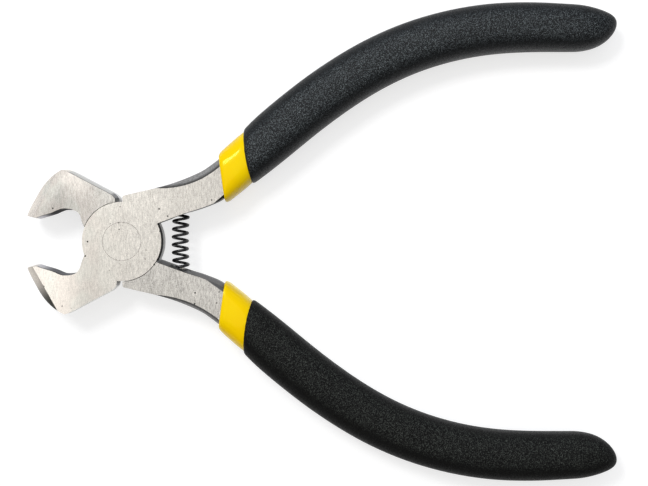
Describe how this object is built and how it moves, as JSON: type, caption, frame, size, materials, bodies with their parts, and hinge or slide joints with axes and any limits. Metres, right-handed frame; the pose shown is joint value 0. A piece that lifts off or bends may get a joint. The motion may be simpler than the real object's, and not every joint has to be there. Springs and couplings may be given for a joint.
{
  "type": "end cutting nippers",
  "caption": "Small spring-loaded end cutting nippers with a riveted lap joint, ground steel jaws and two-layer plastic grips, standing open.",
  "frame": {"origin": "the rivet's axis at the back ground face of the head", "axes": "+X from the rivet towards the handles, +Y from the lower handle towards the upper one, +Z out of the front ground face; the tool lies flat, open as it rests"},
  "size_m": [0.1026, 0.0836, 0.0096],
  "materials": {
    "ground_steel": "ground faces with fine brushing, darker forged flanks",
    "spring_wire": "black oxide spring wire",
    "yellow_vinyl": "glossy yellow vinyl",
    "black_grip": "matte black with a fine sparkling grain"
  },
  "bodies": {
    "rear_lever": {"rear_half": "ground_steel", "rivet": "ground_steel", "return_spring": "spring_wire", "lower_inner_sleeve": "yellow_vinyl", "lower_outer_grip": "black_grip"},
    "front_lever": {"front_half": "ground_steel", "upper_inner_sleeve": "yellow_vinyl", "upper_outer_grip": "black_grip"}
  },
  "joints": [
    {"name": "jaw_pivot", "type": "hinge", "parent": "rear_lever", "child": "front_lever", "pos_m": [0, 0, 0.0037], "axis": [0, 0, -1], "range_deg": [0, 29.6], "stiffness_Nm_per_rad": 0.58, "springref_deg": -6.88, "deforming": ["return_spring"]}
  ]
}
